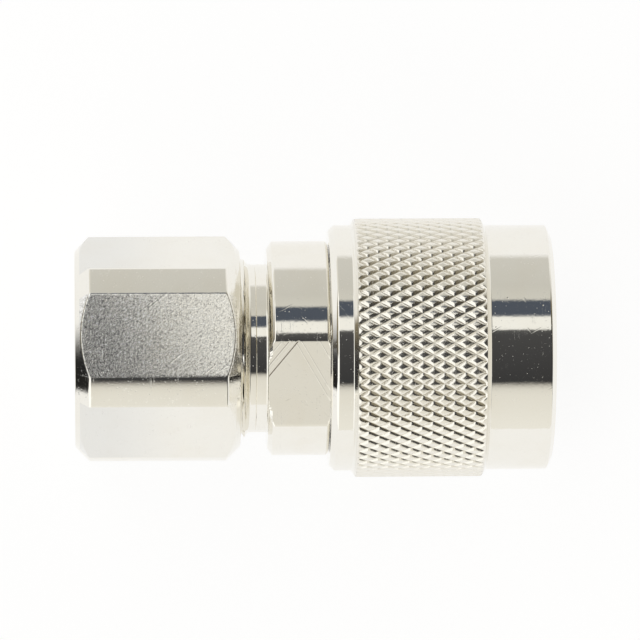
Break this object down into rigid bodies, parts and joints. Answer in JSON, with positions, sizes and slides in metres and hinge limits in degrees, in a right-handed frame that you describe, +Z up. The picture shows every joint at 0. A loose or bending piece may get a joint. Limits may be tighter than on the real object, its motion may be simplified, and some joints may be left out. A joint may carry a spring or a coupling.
{
  "type": "n type coaxial plug connector",
  "caption": "Coaxial cable plug, clamp style, with a knurled coupling nut, a centre pin in a slotted outer contact, and a hexagonal clamp nut at the cable end.",
  "frame": {"origin": "on the plug's axis at the mating reference plane, which is the front end of the outer contact", "axes": "+X along the axis out of the mating end, +Z up with the plug lying on its side on a flat of the clamp nut, +Y across"},
  "size_m": [0.0377, 0.0206, 0.0206],
  "materials": {
    "nickel_body": "satin",
    "nickel_coupling": "satin",
    "nickel_clamp": "satin",
    "nickel_inner": "satin",
    "plated_contact": "satin",
    "gold": "gloss",
    "spring_bronze": "satin",
    "ptfe": "matte",
    "silicone": "matte",
    "black_rubber": "matte"
  },
  "bodies": {
    "connector_body": {"connector_body": "nickel_body", "outer_contact": "plated_contact", "insulator": "ptfe", "centre_contact": "gold", "snap_ring": "spring_bronze", "front_gasket": "silicone"},
    "coupling_nut": {"coupling_nut": "nickel_coupling"},
    "gland": {"thrust_washer": "nickel_inner", "cable_gasket": "black_rubber", "braid_clamp": "nickel_inner"},
    "clamp_nut": {"clamp_nut": "nickel_clamp"}
  },
  "joints": [
    {"name": "coupling_nut_spin", "type": "hinge", "parent": "connector_body", "child": "coupling_nut", "pos_m": [0, 0, 0], "axis": [1, 0, 0], "continuous": true},
    {"name": "gland_slide", "type": "slide", "parent": "connector_body", "child": "gland", "axis": [1, 0, 0], "range_m": [-0.0064, 0.002]},
    {"name": "clamp_nut_turn", "type": "hinge", "parent": "gland", "child": "clamp_nut", "pos_m": [0, 0, 0], "axis": [1, 0, 0], "range_deg": [-2160, 678]}
  ],
  "couplings": [
    {"joint": "gland_slide", "follows": "clamp_nut_turn", "m_per_rad": 0.00016844}
  ]
}
